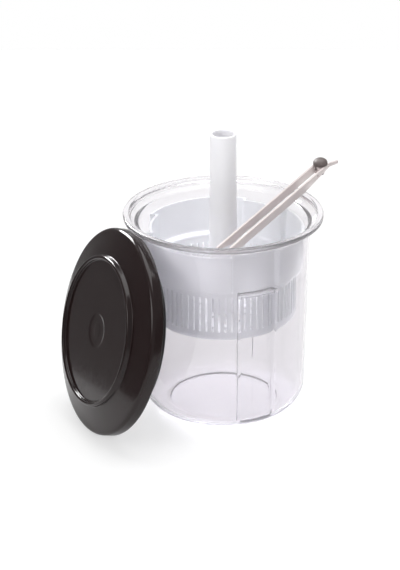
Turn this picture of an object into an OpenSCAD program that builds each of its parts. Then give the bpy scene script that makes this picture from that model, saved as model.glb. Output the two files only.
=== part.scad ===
// Countertop keeper with a lift-out strainer.
// A clear canister has three columns pressed into its wall. The strainer basket slides
// down past them with its three channels, or is lifted, turned and parked on their tops.
// The lid leans against the canister, and a pair of tongs lies across the open mouth.
// Origin: centre of the canister's base. +Z is up, -Y is the front.

/* [Canister] */
// Height from the table to the top of the rim
canister_h = 143; // [136:1:165]
// Outer radius of the wall just under the mouth
canister_r = 60.6; // [57:0.2:66]
// Lean of the wall outwards, degrees
canister_draft = 1.6; // [1:0.1:2]
// Thickness of the wall
canister_wall = 2; // [1.6:0.1:2.6]
// Thickness of the floor
canister_floor = 2.4; // [1.8:0.1:3.4]
// Radius where the wall turns into the base
base_corner_r = 17; // [13:0.5:19]
// Radius of the ring that the canister stands on
base_ring_r = 38; // [30:1:39]
// Depth of the dished middle of the base
base_dish = 0.8; // [0.3:0.1:1.4]
// Depth of the stepped mouth below the rim
mouth_depth = 6; // [5:0.5:8]
// How far the mouth opens out above its ledge
mouth_flare = 4.4; // [3:0.2:6]
// How far the rim stands out past the wall
rim_reach = 8.8; // [7.5:0.1:10]
// Thickness of the rim
rim_t = 3.7; // [3:0.1:4.2]
// Rounding of the rim's outer edges
rim_edge_r = 1.2; // [0.6:0.1:1.4]

/* [Columns] */
// How many columns carry the parked strainer
column_count = 3; // [2:1:4]
// Place of the first column, degrees from the front towards the right
column_angle = 24.4; // [10:0.5:40]
// Width of a column, degrees
column_span = 24.4; // [18:0.5:28]
// How deep the columns are pressed into the wall
column_depth = 6.6; // [5.5:0.1:8]
// Height from the column tops to the rim
column_drop = 38.5; // [36:0.5:44]

/* [Strainer] */
// Height of the strainer's wide upper wall
upper_h = 27; // [22:0.5:29]
// Height of the strainer's slotted lower wall
band_h = 37.6; // [30:0.2:42]
// Thickness of the strainer's walls
strainer_wall = 1.8; // [1.4:0.1:2.2]
// Thickness of the strainer's floor
strainer_floor = 2.2; // [1.6:0.1:3]
// Rounding of the strainer's lower edge
strainer_corner_r = 5; // [3:0.5:7]
// How far the parked strainer can be lowered
strainer_drop = 60; // [50:1:62]
// Number of upright slots round the lower wall
slot_count = 72; // [48:6:84]
// Width of an upright slot
slot_w = 1.6; // [1:0.1:2]
// Solid wall left above and below the slots
slot_margin = 5; // [3.5:0.5:8]
// Number of drain slots in the outer row of the floor
drain_count = 24; // [12:2:30]
// Width of a drain slot
drain_w = 2.2; // [1.2:0.1:3]

/* [Lift tube] */
// Length of the lift tube
tube_len = 130.3; // [110:1:145]
// Outer radius of the tube at its foot
tube_foot_r = 10.2; // [9.4:0.1:11.5]
// Outer radius of the tube at its mouth
tube_top_r = 9; // [8.4:0.1:9.6]
// Thickness of the tube's wall
tube_wall = 1.65; // [1.3:0.05:1.9]
// Height of the spigot that the tube snaps onto
spigot_h = 14; // [10:0.5:20]
// How far the snap ring stands out of the spigot
snap_reach = 0.3; // [0.2:0.05:0.4]

/* [Lid] */
// Thickness of the lid's walls
lid_wall = 2; // [1.6:0.1:2.4]
// Thickness of the skirt round the rim
skirt_t = 1.5; // [1.2:0.1:2]
// Depth of the skirt below the rim's top
skirt_drop = 5.8; // [5:0.2:8]
// Height of the lid's panel above the rim
crown_h = 9; // [7.5:0.5:12]
// Radius of the stacking ridge round the panel
ridge_r = 50.3; // [46:0.5:52]
// Height of the stacking ridge above the panel
ridge_h = 2.6; // [1:0.2:3]
// Thickness of the stacking ridge
ridge_t = 3.2; // [2:0.2:3.6]
// Radius of the shallow dimple in the panel
dimple_r = 12.3; // [8:0.5:16]
// Depth of the dimple
dimple_depth = 0.6; // [0.3:0.1:1]
// Depth of the lid's plug below the rim's top
plug_depth = 14; // [12:0.5:16]
// Height of the seal round the plug
seal_h = 5; // [4:0.5:6]
// Thickness of the seal, without its fins
seal_t = 1.2; // [0.8:0.1:1.8]
// How far the seal's fins stand out
fin_reach = 0.9; // [0.5:0.1:1.2]
// How much the closed seal is squeezed
seal_squeeze = 0.45; // [0.2:0.05:0.6]
// Least lean of the resting lid from upright, degrees
lid_lean = 14.4; // [14:0.2:18]
// How far the resting lid's skirt stays below the rim's underside
lid_tuck = 1; // [0.8:0.1:3]
// Place of the resting lid, degrees from the left towards the front
lid_angle = 27.5; // [15:0.5:40]
// Turn of the resting lid towards the left, from facing straight outwards
lid_turn = 2; // [0:0.5:3]

/* [Tongs] */
// Length of the tongs
tongs_len = 153; // [146:1:165]
// Width of an arm
arm_w = 6.4; // [6:0.1:8]
// Thickness of an arm
arm_t = 1.6; // [1.2:0.1:2]
// Clear space between the open arms
arm_gap = 6.8; // [6.4:0.1:9]
// Length of the pointed end of an arm
tip_len = 18; // [12:1:26]
// Height of the blunt tip
tip_h = 2; // [1.6:0.2:3]
// Distance of the pin from the end of the tail
tail_len = 12; // [9:0.5:16]
// Height of the tail's end
tail_h = 2.2; // [1.8:0.1:3]
// Length over which the right arm narrows to its tail
taper_len = 44; // [34:1:45]
// Length of the tail's outturned end
flick_len = 7; // [4:0.5:8]
// How far the tail's end is turned out, degrees
flick_angle = 29; // [15:1:35]
// Radius of the domed cap at the head
head_r = 5.2; // [4.6:0.1:5.6]
// Height of each arm's round eye
eye_h = 2.5; // [2:0.1:2.7]
// Radius of the pin through the head
pin_r = 1.6; // [1.2:0.1:1.8]
// Height of the domed cap on the pin
cap_h = 4.8; // [3:0.1:6]
// Radius of the small hole near the head
arm_hole_r = 1.2; // [0.8:0.1:1.5]
// Distance of the small hole from the end
arm_hole_x = 25; // [21:1:32]
// Number of grip teeth inside an arm
tooth_count = 8; // [4:1:10]
// Heading of the tongs across the mouth, degrees from the right
tongs_heading = 60; // [56:0.5:62]
// Place of the tips round the mouth, degrees from the right
tips_angle = 269.5; // [267:0.5:271]

/* [Clearances] */
// Radial space round the strainer when it is lowered
strainer_gap = 0.6; // [0.4:0.1:0.8]
// Radial space between a column and the strainer
column_gap = 1.2; // [0.8:0.1:1.6]
// Space at each side of a column in its channel
channel_gap = 3.2; // [2:0.1:4]
// Small step between a channel's face and the lower wall
channel_step = 0.4; // [0.2:0.05:0.6]
// Height between the column tops and the parked strainer
park_gap = 0.3; // [0.2:0.05:0.5]
// Running clearance of the tube on its spigot and of the tongs' eye on its pin
turn_gap = 0.1; // [0.06:0.01:0.12]
// Radial space of the pin in the eye that it is pressed into
press_gap = 0.02; // [0.01:0.01:0.04]
// Space between faces that slide or turn past each other
face_gap = 0.25; // [0.2:0.01:0.3]
// Radial space between the rim and the lid's skirt
lid_gap = 0.3; // [0.2:0.05:0.4]
// Space under what rests on the table, on the rim or against the wall
rest_gap = 0.3; // [0.25:0.01:0.35]

/* [Hidden] */

round_fn = 180;
small_fn = 48;
arc_steps = 10;
past = 1;                // how far a cutter runs past the face it cuts
sector_reach = 1.6 * canister_r;    // length of a sector's straight sides, past the wall

// Heights of the canister
ledge_z = canister_h - mouth_depth;
wall_top_z = ledge_z - 1;
rim_z = canister_h - rim_t;
column_top = canister_h - column_drop;

// Radii of the canister
rim_r = canister_r + rim_reach;
ledge_r = canister_r;
mouth_r = ledge_r + mouth_flare;
mouth_edge_r = 1;
ledge_lead = 0.8;        // small slope between the inner wall and the ledge
column_face_r = canister_r - column_depth;
column_half = column_span / 2;
column_step = 360 / column_count;

// Outer and inner radius of the canister's wall at a height
function wall_r(z) = canister_r - (wall_top_z - z) * tan(canister_draft);
function bore_r(z) = wall_r(z) - canister_wall / cos(canister_draft);

// Points of an arc, from one angle to another
function arc_points(cx, cz, r, from, to) =
    [for (i = [0 : arc_steps]) let (a = from + (to - from) * i / arc_steps)
        [cx + r * cos(a), cz + r * sin(a)]];

// Centre of a base corner that meets the leaning wall smoothly
function corner_x(r, z, wall) =
    wall_r(z - r * sin(canister_draft)) - wall / cos(canister_draft) - r * cos(canister_draft);

// Sizes of the strainer, from the canister and the columns that it passes
shoulder_z = column_top + park_gap;
strainer_z = shoulder_z - band_h;
strainer_top = shoulder_z + upper_h;
floor_top = strainer_z + strainer_floor;
shoulder_r = bore_r(shoulder_z - strainer_drop) - strainer_gap;
upper_r = shoulder_r + upper_h * tan(canister_draft);
band_r = column_face_r - canister_wall - column_gap;
band_bore = band_r - strainer_wall;
channel_grow = canister_wall + channel_gap;
channel_r = band_r + channel_step;
channel_bore = band_bore + channel_step;

// The lift tube and its spigot
tube_z = floor_top + face_gap;
tube_top = tube_z + tube_len;
tube_bore = tube_foot_r - tube_wall;
spigot_r = tube_bore - turn_gap;
spigot_bore = spigot_r - 2;
socket_top = floor_top + spigot_h + 2 * face_gap;
snap_z = floor_top + spigot_h * 0.65;
snap_h = 1.2;
tube_bevel = 0.8;
function tube_r(z) = tube_foot_r + (tube_top_r - tube_foot_r) * (z - tube_z) / tube_len;

// Radii of the lid, in the lid's own frame, whose zero is the top of the rim when closed
skirt_bore = rim_r + lid_gap;
lid_r = skirt_bore + skirt_t;
lid_edge_r = 3.3;
seal_r = bore_r(canister_h - plug_depth) + seal_squeeze;
plug_r = seal_r - fin_reach - seal_t;
plug_bore = plug_r - lid_wall;
ridge_out = ridge_r + ridge_t / 2;
ridge_in = ridge_r - ridge_t / 2;
ridge_top = crown_h + ridge_h;
slope_foot = crown_h - 1.2;
edge_angle = 62;
edge_top_r = lid_r - lid_edge_r * (1 - cos(edge_angle));
edge_top_h = lid_edge_r * sin(edge_angle);
seat_r = mouth_r + mouth_edge_r;

// Height of the lid's slope at a radius, and of a wall's underside below it
slope_angle = atan((slope_foot - edge_top_h) / (edge_top_r - ridge_out));
function slope_h(r) = slope_foot - (r - ridge_out) * tan(slope_angle);
function under_slope(r) = slope_h(r) - lid_wall / cos(slope_angle);

// Place of the resting lid: its skirt on the table, its top tucked under the rim. Its seal leans on
// the wall, its skirt on the flare or on the rim's lower edge, whichever is met first.
lean = max(lid_lean, acos(min(1, (rim_z - lid_tuck - rest_gap) / (2 * lid_r))));
lean_c = cos(lean);
lean_s = sin(lean);
lid_z = rest_gap + lid_r * lean_c + skirt_drop * lean_s;
seal_touch_z = lid_z - plug_depth * lean_s + seal_r * lean_c;
on_wall = wall_r(seal_touch_z) + rest_gap + plug_depth * lean_c + seal_r * lean_s;
flare_angle = atan((rim_z - wall_top_z) / (mouth_r + mouth_edge_r - canister_r));
skirt_z = lid_z + lid_r * lean_c - skirt_drop * lean_s;
over_wall = max(skirt_z - wall_top_z, 0) / tan(flare_angle) + rest_gap / sin(flare_angle);
on_flare = canister_r + over_wall + skirt_drop * lean_c + lid_r * lean_s;
edge_x = rim_r - rim_edge_r + lid_r * lean_s;
edge_z = rim_z + rim_edge_r - lid_z - lid_r * lean_c;
on_edge = edge_x + (rim_edge_r + rest_gap - edge_z * lean_c) / lean_s;
lid_out = max(on_wall, on_flare, on_edge);

// The tongs: local X runs from the tips to the head, Z up across the arms
arm_y = (arm_gap + arm_t) / 2;
head_x = tongs_len - tail_len;
eye_r = arm_gap / 2 - 1.2 * face_gap;
eye_z = eye_h + 1.6 * face_gap;
cap_z = max(arm_w, eye_z + eye_h) + face_gap;
tooth_pitch = 2.4;
tooth_t = 0.5;
tip_out = bore_r(ledge_z) + 3 - arm_y;
tip_x = tip_out * cos(tips_angle);
tip_y = tip_out * sin(tips_angle);
ahead_x = cos(tongs_heading);
ahead_y = sin(tongs_heading);
axis_x = -(tip_x * ahead_x + tip_y * ahead_y);
axis_y = abs(tip_x * ahead_y - tip_y * ahead_x);
rim_x = axis_x + sqrt(pow(mouth_r, 2) - pow(axis_y + arm_y + arm_t / 2, 2));
tips_z = ledge_z + rest_gap - (arm_w - tip_h);
tongs_tilt = atan((canister_h + rest_gap - tips_z) / rim_x);

// ---------------------------------------------------------------- shared shapes

// A ring sector from a face radius outwards, its sides moved out by a distance
module sector(face_r, grow, z0, z1) {
    apex = -grow / sin(column_half);
    side_x = apex + sector_reach * cos(column_half);
    side_y = sector_reach * sin(column_half);
    translate([0, 0, z0])
    linear_extrude(height = z1 - z0)
    difference() {
        polygon([[apex, 0], [side_x, -side_y], [side_x, side_y]]);
        circle(r = face_r, $fn = round_fn);
    }
}

// One copy of a shape at each column
module at_columns() {
    for (i = [0 : column_count - 1])
        rotate([0, 0, column_angle - 90 + i * column_step])
        children();
}

// The lid's place at rest
module lid_place() {
    rotate([0, 0, 180 + lid_angle])
    translate([lid_out, 0, lid_z])
    rotate([0, 90 - lean, -lid_turn])
    children();
}

// The tongs' place at rest
module tongs_place() {
    translate([tip_x, tip_y, tips_z])
    rotate([0, -tongs_tilt, tongs_heading])
    children();
}

// ---------------------------------------------------------------- canister

// Everything inside the canister's outer surface
module canister_outside() {
    corner_c = corner_x(base_corner_r, base_corner_r, 0);
    rotate_extrude($fn = round_fn)
    polygon(concat(
        [[0, base_dish], [base_ring_r - 2 * base_dish, base_dish], [base_ring_r, 0]],
        arc_points(corner_c, base_corner_r, base_corner_r, -90, -canister_draft),
        [[canister_r, wall_top_z], [mouth_r + mouth_edge_r, rim_z]],
        arc_points(rim_r - rim_edge_r, rim_z + rim_edge_r, rim_edge_r, -90, 0),
        arc_points(rim_r - rim_edge_r, canister_h - rim_edge_r, rim_edge_r, 0, 90),
        [[0, canister_h]]
    ));
}

// The round space inside the canister, with its stepped mouth
module canister_inside() {
    bore_corner_r = base_corner_r - canister_wall;
    corner_z = canister_floor + bore_corner_r;
    corner_c = corner_x(bore_corner_r, corner_z, canister_wall);
    bore_top_z = ledge_z - ledge_lead;
    rotate_extrude($fn = round_fn)
    polygon(concat(
        [[0, canister_floor]],
        arc_points(corner_c, corner_z, bore_corner_r, -90, -canister_draft),
        [[bore_r(bore_top_z), bore_top_z]],
        [[bore_r(bore_top_z) + ledge_lead, ledge_z], [ledge_r, ledge_z]],
        arc_points(mouth_r + mouth_edge_r, canister_h - mouth_edge_r, mouth_edge_r, 180, 90),
        [[mouth_r + mouth_edge_r, canister_h + past], [0, canister_h + past]]
    ));
}

module canister() {
    color([0.86, 0.88, 0.91])
    difference() {
        canister_outside();
        at_columns() sector(column_face_r, 0, -past, column_top - canister_wall);
        difference() {
            canister_inside();
            at_columns() sector(column_face_r - canister_wall, canister_wall, -past, column_top);
        }
    }
}

// ---------------------------------------------------------------- strainer basket

module basket_outside() {
    rotate_extrude($fn = round_fn)
    polygon(concat(
        [[0, strainer_z]],
        arc_points(band_r - strainer_corner_r, strainer_z + strainer_corner_r,
            strainer_corner_r, -90, 0),
        [[band_r, shoulder_z], [shoulder_r, shoulder_z], [upper_r, strainer_top]],
        [[0, strainer_top]]
    ));
}

module basket_inside() {
    shelf_z = shoulder_z + strainer_wall;
    bore_corner_r = strainer_corner_r - strainer_wall;
    rotate_extrude($fn = round_fn)
    polygon(concat(
        [[0, floor_top]],
        arc_points(band_bore - bore_corner_r, floor_top + bore_corner_r, bore_corner_r, -90, 0),
        [[band_bore, shelf_z], [shoulder_r - strainer_wall, shelf_z]],
        [[upper_r - strainer_wall, strainer_top], [upper_r - strainer_wall, strainer_top + past]],
        [[0, strainer_top + past]]
    ));
}

// The upright slots of the lower wall
module band_slots() {
    slot_z = floor_top + slot_margin;
    for (i = [0 : slot_count - 1])
        rotate([0, 0, column_angle - 90 + (i + 0.5) * 360 / slot_count])
        translate([band_bore - past, -slot_w / 2, slot_z])
        cube([strainer_wall + 2 * past, slot_w, shoulder_z - slot_margin - slot_z]);
}

// Two rows of drain slots in the floor, between the spigot and the rounded edge
module floor_slots() {
    inner_r = tube_foot_r + 4;
    outer_r = band_r - strainer_corner_r - 2;
    middle_r = (inner_r + outer_r) / 2;
    bar = 2;
    for (i = [0 : drain_count - 1])
        rotate([0, 0, column_angle - 90 + (i + 0.5) * 360 / drain_count])
        translate([middle_r + bar, -drain_w / 2, strainer_z - past])
        cube([outer_r - middle_r - bar, drain_w, strainer_floor + 2 * past]);
    for (i = [0 : 2 : drain_count - 1])
        rotate([0, 0, column_angle - 90 + (i + 0.5) * 360 / drain_count])
        translate([inner_r, -drain_w / 2, strainer_z - past])
        cube([middle_r - inner_r - bar, drain_w, strainer_floor + 2 * past]);
}

// The hollow spigot that the tube turns on, with its snap ring
module spigot() {
    overlap = strainer_floor / 2;
    translate([0, 0, floor_top - overlap])
    cylinder(r = spigot_r, h = spigot_h + overlap, $fn = round_fn);
    rotate_extrude($fn = round_fn)
    polygon([[spigot_r - past, snap_z], [spigot_r, snap_z], [spigot_r + snap_reach, snap_z + snap_h / 3],
        [spigot_r, snap_z + snap_h], [spigot_r - past, snap_z + snap_h]]);
}

module strainer_basket() {
    color([0.80, 0.81, 0.80])
    difference() {
        union() {
            difference() {
                basket_outside();
                at_columns() sector(channel_r, channel_grow, shoulder_z - past, strainer_top + past);
                difference() {
                    basket_inside();
                    at_columns()
                    sector(channel_bore, channel_grow + strainer_wall, shoulder_z, strainer_top + 2 * past);
                }
            }
            spigot();
        }
        translate([0, 0, strainer_z - past])
        cylinder(r = spigot_bore, h = strainer_floor + spigot_h + 2 * past, $fn = round_fn);
        band_slots();
        floor_slots();
    }
}

// ---------------------------------------------------------------- lift tube

module lift_tube() {
    groove_r = tube_bore + snap_reach;
    groove_h = snap_h + 2 * face_gap;
    color([0.89, 0.89, 0.93])
    rotate_extrude($fn = round_fn)
    polygon([
        [tube_bore, tube_z], [tube_foot_r, tube_z],
        [tube_top_r, tube_top - tube_bevel], [tube_top_r - tube_bevel, tube_top],
        [tube_top_r - tube_wall, tube_top],
        [tube_r(socket_top) - tube_wall, socket_top], [tube_bore, socket_top],
        [tube_bore, snap_z + groove_h - face_gap], [groove_r, snap_z + snap_h / 3 + face_gap],
        [groove_r, snap_z + snap_h / 3 - face_gap], [tube_bore, snap_z - face_gap]
    ]);
}

// ---------------------------------------------------------------- lid

module lid_cover() {
    recess_r = plug_r + seal_t;
    recess_h = under_slope(recess_r) - 0.7;
    color([0.22, 0.19, 0.19])
    lid_place()
    rotate_extrude($fn = round_fn)
    polygon(concat(
        [[0, crown_h - dimple_depth], [dimple_r - dimple_depth, crown_h - dimple_depth]],
        [[dimple_r, crown_h], [ridge_in, crown_h]],
        arc_points(ridge_r, ridge_top - ridge_t / 2, ridge_t / 2, 180, 0),
        [[ridge_out, slope_foot]],
        arc_points(lid_r - lid_edge_r, 0, lid_edge_r, edge_angle, 0),
        [[lid_r, -skirt_drop], [skirt_bore, -skirt_drop], [skirt_bore, 0], [seat_r, 0]],
        [[recess_r, recess_h], [plug_r, recess_h], [plug_r, -plug_depth], [plug_bore, -plug_depth]],
        [[plug_bore, under_slope(plug_bore)], [ridge_in, crown_h - lid_wall]],
        [[0, crown_h - lid_wall]]
    ));
}

module lid_seal() {
    fin_h = seal_h / 5;
    bed = plug_r + seal_t;
    color([0.07, 0.05, 0.05])
    lid_place()
    rotate_extrude($fn = round_fn)
    polygon([
        [plug_r, -plug_depth], [seal_r, -plug_depth], [seal_r, -plug_depth + fin_h / 2],
        [bed, -plug_depth + fin_h * 1.5], [bed, -plug_depth + fin_h * 2.5],
        [seal_r, -plug_depth + fin_h * 3], [seal_r, -plug_depth + fin_h * 3.5],
        [bed, -plug_depth + fin_h * 4.5], [bed, -plug_depth + seal_h], [plug_r, -plug_depth + seal_h]
    ]);
}

// ---------------------------------------------------------------- tongs

// A flat arm from its pointed tip to a length, centred on its own plane
module arm(length) {
    translate([0, arm_t / 2, 0])
    rotate([90, 0, 0])
    linear_extrude(height = arm_t)
    polygon([[0, arm_w - tip_h], [tip_len, 0], [length, 0], [length, arm_w], [0, arm_w]]);
}

// The right arm's strip: its lower edge rises towards the tail, whose end is turned outwards
module tailed_arm() {
    bend_x = tongs_len - flick_len;
    end_x = tongs_len + past;
    end_y = (end_x - bend_x) * tan(flick_angle);
    half_t = arm_t / 2;
    intersection() {
        translate([0, arm_t, 0])
        rotate([90, 0, 0])
        linear_extrude(height = 2 * arm_t + end_y)
        polygon([[0, arm_w - tip_h], [tip_len, 0], [tongs_len - taper_len, 0],
            [tongs_len, arm_w - tail_h], [tongs_len, arm_w], [0, arm_w]]);
        translate([0, 0, -past])
        linear_extrude(height = arm_w + 2 * past)
        polygon([[-past, -half_t], [bend_x, -half_t], [end_x, -half_t - end_y],
            [end_x, half_t - end_y], [bend_x, half_t], [-past, half_t]]);
    }
}

// A round eye between the arms at the head, joined to its own arm by a flat tab
module eye(z, tab_y) {
    tab_half = 0.8 * eye_r;
    translate([head_x, 0, z])
    cylinder(r = eye_r, h = eye_h, $fn = small_fn);
    translate([head_x - tab_half, tab_y, z])
    cube([2 * tab_half, arm_y, eye_h]);
}

module tongs_left_arm() {
    color([0.72, 0.68, 0.68])
    tongs_place()
    difference() {
        union() {
            translate([0, arm_y, 0]) arm(head_x + eye_r);
            eye(0, 0);
        }
        translate([head_x, 0, -past])
        cylinder(r = pin_r + press_gap, h = eye_h + 2 * past, $fn = small_fn);
    }
}

module tongs_right_arm() {
    color([0.78, 0.74, 0.73])
    tongs_place()
    difference() {
        union() {
            translate([0, -arm_y, 0]) tailed_arm();
            eye(eye_z, -arm_y);
            for (i = [1 : tooth_count])
                translate([tip_len * 0.4 + i * tooth_pitch, -arm_y, arm_w * 0.6])
                cube([tooth_pitch / 3, arm_t / 2 + tooth_t, arm_w * 0.3]);
        }
        translate([head_x, 0, eye_z - past])
        cylinder(r = pin_r + turn_gap, h = eye_h + 2 * past, $fn = small_fn);
        translate([tongs_len - arm_hole_x, -arm_y + arm_t, arm_w * 0.66])
        rotate([90, 0, 0])
        cylinder(r = arm_hole_r, h = 2 * arm_t, $fn = small_fn);
    }
}

module tongs_pin() {
    foot_h = 1;
    side_h = cap_h / 4;
    dome_h = cap_h - side_h;
    color([0.47, 0.44, 0.43])
    tongs_place()
    translate([head_x, 0, 0])
    rotate_extrude($fn = small_fn)
    polygon(concat(
        [[0, -foot_h], [pin_r + foot_h, -foot_h], [pin_r + foot_h, 0], [pin_r, 0]],
        [[pin_r, cap_z], [head_r, cap_z]],
        [for (i = [0 : arc_steps]) let (a = 90 * i / arc_steps)
            [head_r * cos(a), cap_z + side_h + dome_h * sin(a)]]
    ));
}

canister();
strainer_basket();
lift_tube();
lid_cover();
lid_seal();
tongs_left_arm();
tongs_right_arm();
tongs_pin();
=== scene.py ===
"""Surfaces, finishes and stage of a keeper with a lift-out strainer, its leaning lid and its tongs."""

import math

import bmesh
import bpy
import numpy as np
from bpy.props import FloatProperty, FloatVectorProperty, IntProperty, PointerProperty
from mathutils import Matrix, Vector


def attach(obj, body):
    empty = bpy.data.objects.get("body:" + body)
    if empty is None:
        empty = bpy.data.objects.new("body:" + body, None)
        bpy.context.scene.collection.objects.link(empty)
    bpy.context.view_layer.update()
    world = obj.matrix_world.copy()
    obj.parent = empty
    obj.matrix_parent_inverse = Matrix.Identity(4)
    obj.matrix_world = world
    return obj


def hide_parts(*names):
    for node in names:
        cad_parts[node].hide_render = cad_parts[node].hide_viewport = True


bl_info = {
    "name": "Lift strainer keeper",
    "version": (1, 0, 0),
    "blender": (4, 5, 0),
    "location": "3D View > Sidebar > Keeper",
    "description": "Builds the clear canister, its strainer and tube, the leaning lid and the tongs",
    "category": "Add Mesh",
}

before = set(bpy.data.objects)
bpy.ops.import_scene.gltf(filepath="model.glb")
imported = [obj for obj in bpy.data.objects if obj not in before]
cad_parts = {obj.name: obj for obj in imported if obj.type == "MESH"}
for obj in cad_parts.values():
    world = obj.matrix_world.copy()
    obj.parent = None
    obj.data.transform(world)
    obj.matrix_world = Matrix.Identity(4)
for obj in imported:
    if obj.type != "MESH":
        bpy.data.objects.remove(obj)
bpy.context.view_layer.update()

MM = 0.001
SMALLEST = 1e-6          # points nearer than this are one point
RING_STEPS = 180         # corners of a full turn of the lid and its seal
SMALL_STEPS = 64         # corners of a full turn of an eye or the cap
COLUMNS = 3              # columns of the canister, and channels of the strainer
PI = math.pi
SECTOR = 2 * PI / COLUMNS


def size(name, words, mm):
    """A length setting of a size group, given in millimetres."""
    return FloatProperty(name=name, description=words, default=mm * MM, unit="LENGTH", precision=5)


def turn(name, words, degrees):
    """An angle setting of a size group, given in degrees."""
    return FloatProperty(name=name, description=words, default=math.radians(degrees), subtype="ANGLE")


def colour(name, words, rgb):
    """A colour setting of the finishes, in linear light."""
    return FloatVectorProperty(name=name, description=words, default=rgb, size=3, min=0, max=1,
                               subtype="COLOR")


class KeeperCanisterSizes(bpy.types.PropertyGroup):
    """Sizes of the clear canister."""

    rim_z: size("Rim height", "Height of the rim's top above the table", 143)
    rim_r: size("Rim radius", "Outer radius of the rim", 69.4)
    rim_t: size("Rim thickness", "Thickness of the rim", 3.7)
    rim_soft: size("Rim edge", "Radius along the rim's edges", 1.2)
    mouth_r: size("Mouth radius", "Inner radius of the mouth under the rim's edge", 65)
    wall_r: size("Wall radius", "Outer radius of the wall under the mouth", 60.6)
    wall_t: size("Wall thickness", "Thickness of the wall", 2)
    draft: turn("Draft", "Lean of the wall outwards", 1.6)
    corner_r: size("Base corner", "Radius between wall and base", 17)
    floor_t: size("Floor thickness", "Thickness of the floor", 2.4)
    foot_r: size("Foot ring", "Inner radius of the ring that the canister stands on", 38)
    dish: size("Dish", "Rise of the base inside the foot ring", 0.8)
    ledge_z: size("Ledge height", "Height of the ledge inside the mouth", 137)
    column_turn: turn("Column place", "Place of the first column, from the front to the right", 24.4)
    column_half: turn("Column half width", "Half the width of a column", 12.2)
    column_r: size("Column face", "Radius of a column's outer face", 54)
    column_z: size("Column top", "Height of the column tops inside", 104.5)
    column_soft: size("Column edge", "Radius along the edges of a column", 0.9)


class KeeperStrainerSizes(bpy.types.PropertyGroup):
    """Sizes of the strainer basket and its lift tube."""

    foot_z: size("Foot height", "Height of the parked strainer's underside", 67.2)
    shoulder_z: size("Shoulder height", "Height of the shoulder's underside", 104.8)
    top_z: size("Top height", "Height of the upper wall's edge", 131.8)
    band_r: size("Band radius", "Outer radius of the slotted band", 50.8)
    shoulder_r: size("Shoulder radius", "Outer radius of the shoulder", 55.45)
    top_r: size("Top radius", "Outer radius of the upper edge", 56.2)
    wall_t: size("Wall thickness", "Thickness of the walls", 1.8)
    floor_t: size("Floor thickness", "Thickness of the floor", 2.2)
    corner_r: size("Foot corner", "Radius between band and floor", 5)
    channel_half: turn("Channel half width", "Half the width of a channel", 17.7)
    channel_r: size("Channel face", "Outer radius of a channel's face", 51.2)
    channel_soft: size("Channel edge", "Radius along the edges of a channel", 0.8)
    slot_w: size("Slot width", "Width of the upright slots", 1.6)
    slot_margin: size("Slot margin", "Wall left above and below the slots", 5)
    drain_w: size("Drain width", "Width of the floor's slots", 2.2)
    spigot_r: size("Spigot radius", "Outer radius of the spigot", 8.45)
    spigot_h: size("Spigot height", "Height of the spigot above the floor", 14)
    tube_foot_z: size("Tube foot", "Height of the tube's foot", 69.65)
    tube_top_z: size("Tube top", "Height of the tube's mouth", 199.95)
    tube_foot_r: size("Tube foot radius", "Outer radius at the foot", 10.2)
    tube_top_r: size("Tube mouth radius", "Outer radius at the mouth", 9)
    tube_t: size("Tube wall", "Thickness of the tube's wall", 1.65)


class KeeperLidSizes(bpy.types.PropertyGroup):
    """Sizes and place of the leaning lid and its seal."""

    edge_r: size("Lid radius", "Outer radius of the lid", 71.19)
    skirt_t: size("Skirt thickness", "Thickness of the skirt", 1.5)
    skirt_drop: size("Skirt depth", "Depth of the skirt", 5.8)
    edge_soft: size("Edge radius", "Radius over the skirt", 3.3)
    crown_h: size("Crown height", "Height of the panel", 9)
    ridge_r: size("Ridge radius", "Radius of the stacking ridge", 50.3)
    ridge_h: size("Ridge height", "Height of the ridge over the panel", 2.6)
    ridge_t: size("Ridge thickness", "Thickness of the ridge", 3.2)
    slope_drop: size("Slope drop", "Drop of the slope's top below the panel", 1.2)
    dimple_r: size("Dimple radius", "Radius of the dimple", 12.3)
    dimple_h: size("Dimple depth", "Depth of the dimple", 0.45)
    nub_r: size("Nub radius", "Radius of the low nub in the dimple", 5)
    rest_r: size("Rest radius", "Inner radius of the flat that rests on the rim", 66)
    hollow_h: size("Hollow height", "Height of the hollow between the flat and the plug", 3.2)
    plug_r: size("Plug radius", "Outer radius of the plug", 56.754)
    plug_depth: size("Plug depth", "Depth of the plug", 14)
    wall_t: size("Wall thickness", "Thickness of the lid", 2)
    seal_r: size("Seal radius", "Outer radius of the seal's fins", 58.854)
    seal_h: size("Seal height", "Height of the seal", 5)
    centre: FloatVectorProperty(name="Place", description="Centre of the leaning lid",
                                default=(-78.738 * MM, -40.988 * MM, 70.706 * MM), size=3,
                                subtype="XYZ_LENGTH")
    lean: turn("Lean", "Lean of the lid from upright", 14.4)
    heading: turn("Heading", "Where the lid faces, from the left to the front", 25.5)


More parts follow.
